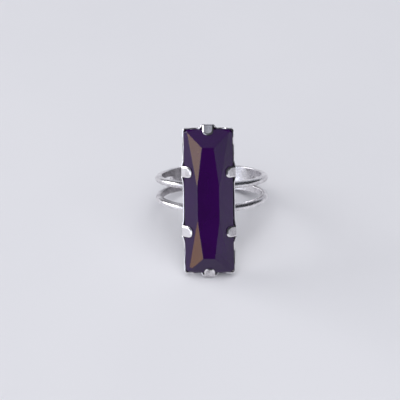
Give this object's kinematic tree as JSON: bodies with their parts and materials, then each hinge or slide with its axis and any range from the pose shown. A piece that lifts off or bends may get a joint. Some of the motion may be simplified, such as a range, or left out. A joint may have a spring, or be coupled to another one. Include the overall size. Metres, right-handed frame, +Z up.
{
  "type": "cocktail ring",
  "caption": "Cocktail ring with a long rectangular dark purple faceted stone held in a pronged silver-tone setting across an open split shank, resting on its side.",
  "frame": {"origin": "centre of the finger hole, half way along its width", "axes": "the ring lies at rest on a horizontal table: +Z is up, +X runs across the stone parallel to the table, and -Y is the side that the stone faces; the finger axis leans back from +Z by the rest angle"},
  "size_m": [0.019, 0.0259, 0.0229],
  "materials": {
    "crystal": "polished, deep purple",
    "foil": "lacquered reflective coat",
    "plated_metal": "antique silver plate, softly polished",
    "solder": "dull silver"
  },
  "bodies": {
    "root": {"crystal": "crystal", "foil_backing": "foil", "setting": "plated_metal", "shank": "plated_metal", "solder_joints": "solder"}
  },
  "joints": []
}
